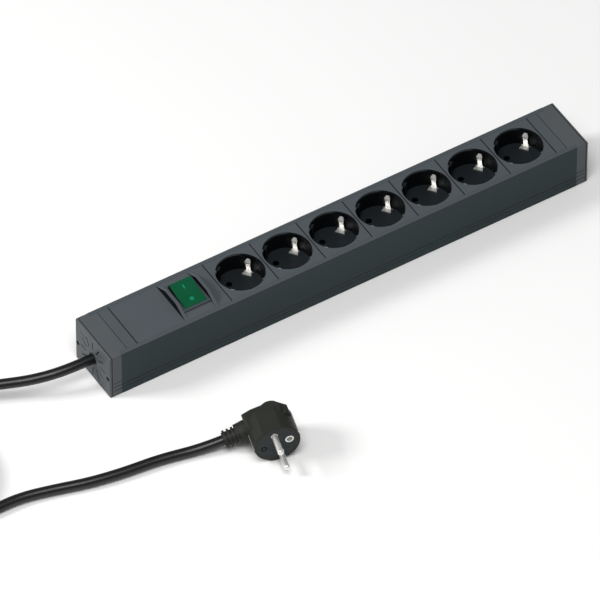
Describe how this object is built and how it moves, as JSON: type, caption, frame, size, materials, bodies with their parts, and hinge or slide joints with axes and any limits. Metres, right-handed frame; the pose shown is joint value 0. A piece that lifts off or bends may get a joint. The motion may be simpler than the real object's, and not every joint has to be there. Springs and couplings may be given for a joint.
{
  "type": "rack power strip",
  "caption": "Rack power strip: earthed round sockets and a guarded green rocker switch in a long channel, with a cord and an angled plug.",
  "frame": {"origin": "middle of the strip's underside, without its cord", "axes": "+X along the strip away from the cord, +Y towards the back of the strip, +Z out of the sockets"},
  "size_m": [0.6868, 0.2207, 0.0517],
  "materials": {
    "channel_paint": "satin dark grey-green paint on aluminium",
    "face_plastic": "fine-textured grey plastic",
    "cap_plastic": "fine-textured grey plastic",
    "socket_plastic": "dark satin plastic",
    "bezel_plastic": "satin grey plastic",
    "black_plastic": "satin black plastic",
    "carrier_plastic": "dark moulded plastic",
    "rocker_green": "clear-looking green plastic",
    "lamp_glass": "clear glass",
    "nickel": "nickel plating",
    "brass": "bright rolled brass",
    "steel": "zinc-plated steel",
    "cord_pvc": "glossy black cord jacket",
    "plug_rubber": "satin black moulded rubber",
    "plug_core_plastic": "dark moulded plastic",
    "wire_brown": "brown insulation",
    "wire_blue": "blue insulation",
    "wire_green_yellow": "green and yellow insulation"
  },
  "bodies": {
    "strip": {"cable_end_cap": "cap_plastic", "channel": "channel_paint", "contact_carrier": "carrier_plastic", "cord_bushing": "black_plastic", "cord_clamp": "carrier_plastic", "cord_clamp_screws": "steel", "cord_coil": "cord_pvc", "cord_inner": "cord_pvc", "cord_lead": "cord_pvc", "cord_tail": "cord_pvc", "cord_tie": "black_plastic", "earth_busbar": "brass", "earth_clip_1": "nickel", "earth_clip_2": "nickel", "earth_clip_3": "nickel", "earth_clip_4": "nickel", "earth_clip_5": "nickel", "earth_clip_6": "nickel", "earth_clip_7": "nickel", "earth_wire": "wire_green_yellow", "far_end_cap": "cap_plastic", "filler_left": "face_plastic", "filler_right": "face_plastic", "live_busbar": "brass", "live_wire_in": "wire_brown", "live_wire_out": "wire_brown", "neutral_busbar": "brass", "neutral_wire_in": "wire_blue", "neutral_wire_out": "wire_blue", "plug_body": "plug_rubber", "plug_boot": "plug_rubber", "plug_core": "plug_core_plastic", "plug_earth_sleeve": "nickel", "plug_earth_strips": "nickel", "plug_pins": "nickel", "socket_cup_1": "socket_plastic", "socket_cup_2": "socket_plastic", "socket_cup_3": "socket_plastic", "socket_cup_4": "socket_plastic", "socket_cup_5": "socket_plastic", "socket_cup_6": "socket_plastic", "socket_cup_7": "socket_plastic", "socket_plate_1": "face_plastic", "socket_plate_2": "face_plastic", "socket_plate_3": "face_plastic", "socket_plate_4": "face_plastic", "socket_plate_5": "face_plastic", "socket_plate_6": "face_plastic", "socket_plate_7": "face_plastic", "switch_frame": "bezel_plastic", "switch_guard": "black_plastic", "switch_plate": "face_plastic", "switch_terminals": "brass"},
    "rocker": {"rocker": "rocker_green", "plungers": "steel", "plunger_springs": "steel", "switch_lamp": "lamp_glass"},
    "live_lever": {"live_lever": "brass"},
    "neutral_lever": {"neutral_lever": "brass"}
  },
  "joints": [
    {"name": "rocker_tilt", "type": "hinge", "parent": "strip", "child": "rocker", "pos_m": [-0.134, 0, 0.045], "axis": [1, 0, 0], "range_deg": [-22, 0]},
    {"name": "live_lever_tilt", "type": "hinge", "parent": "strip", "child": "live_lever", "pos_m": [-0.139, 0, 0.031], "axis": [1, 0, 0], "range_deg": [0, 13.2]},
    {"name": "neutral_lever_tilt", "type": "hinge", "parent": "strip", "child": "neutral_lever", "pos_m": [-0.129, 0, 0.031], "axis": [1, 0, 0], "range_deg": [0, 13.2]}
  ],
  "couplings": [
    {"joint": "live_lever_tilt", "follows": "rocker_tilt", "ratio": -0.6},
    {"joint": "neutral_lever_tilt", "follows": "rocker_tilt", "ratio": -0.6}
  ]
}
